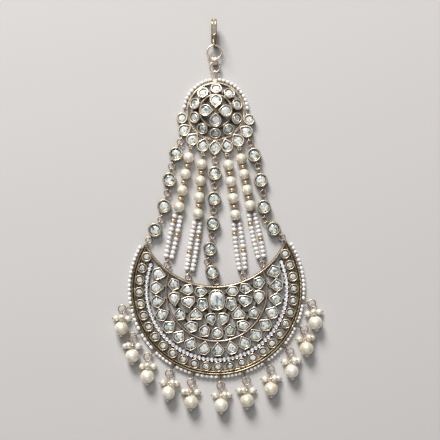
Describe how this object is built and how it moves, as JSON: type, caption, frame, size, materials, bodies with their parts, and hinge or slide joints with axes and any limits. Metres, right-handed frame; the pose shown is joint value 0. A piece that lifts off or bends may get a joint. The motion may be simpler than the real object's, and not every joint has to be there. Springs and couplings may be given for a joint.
{
  "type": "jhoomar hair ornament",
  "caption": "Pierced crescent and domed medallion set with foil-backed stones, joined by chains and pearl strings, with pearl drops and a hair hook.",
  "frame": {"origin": "middle of the underside of the bounding box, on the surface that the ornament lies on", "axes": "+Y along the ornament towards the hair hook, +X to the right as the front is seen, +Z out of the front, up when it lies on its back"},
  "size_m": [0.0846, 0.1574, 0.008],
  "materials": {
    "gold": "antique gold plate, worn and darkened in the recesses",
    "thread_gold": "thin gold wire",
    "stone": "foil-backed cut glass, pale mint",
    "crystal": "tiny clear crystals in silver-white cups",
    "pearl": "cream pearl with a soft sheen",
    "seed_pearl": "white seed pearl with a soft sheen"
  },
  "bodies": {
    "root": {"hair_hook": "gold", "hook_ring": "gold", "hook_link": "gold", "lower_ring": "gold", "medallion_frame": "gold", "medallion_center_stones": "stone", "medallion_round_stones": "stone", "medallion_fringe_stones": "stone", "medallion_rim_pearls": "seed_pearl", "left_chain_settings": "gold", "left_chain_stones": "stone", "left_chain_rings": "gold", "center_chain_settings": "gold", "center_chain_stones": "stone", "center_chain_rings": "gold", "right_chain_settings": "gold", "right_chain_stones": "stone", "right_chain_rings": "gold", "strand_1_pearls": "pearl", "strand_1_gold_beads": "gold", "strand_1_thread": "thread_gold", "strand_1_seeds": "seed_pearl", "strand_2_pearls": "pearl", "strand_2_gold_beads": "gold", "strand_2_thread": "thread_gold", "strand_2_seeds": "seed_pearl", "strand_3_pearls": "pearl", "strand_3_gold_beads": "gold", "strand_3_thread": "thread_gold", "strand_3_seeds": "seed_pearl", "strand_4_pearls": "pearl", "strand_4_gold_beads": "gold", "strand_4_thread": "thread_gold", "strand_4_seeds": "seed_pearl", "strand_end_rings": "gold", "crescent_frame": "gold", "crescent_border_stones": "stone", "crescent_kite_stones": "stone", "crescent_field_stones": "stone", "crescent_center_stone": "stone", "crescent_crystal_row": "crystal", "crescent_rim_pearls": "seed_pearl", "drop_pearl_1": "pearl", "drop_pearl_2": "pearl", "drop_pearl_3": "pearl", "drop_pearl_4": "pearl", "drop_pearl_5": "pearl", "drop_pearl_6": "pearl", "drop_pearl_7": "pearl", "drop_pearl_8": "pearl", "drop_pearl_9": "pearl", "drop_pearl_10": "pearl", "drop_pearl_11": "pearl", "drop_rings": "gold", "drop_pins": "gold", "drop_bunches": "pearl"}
  },
  "joints": []
}
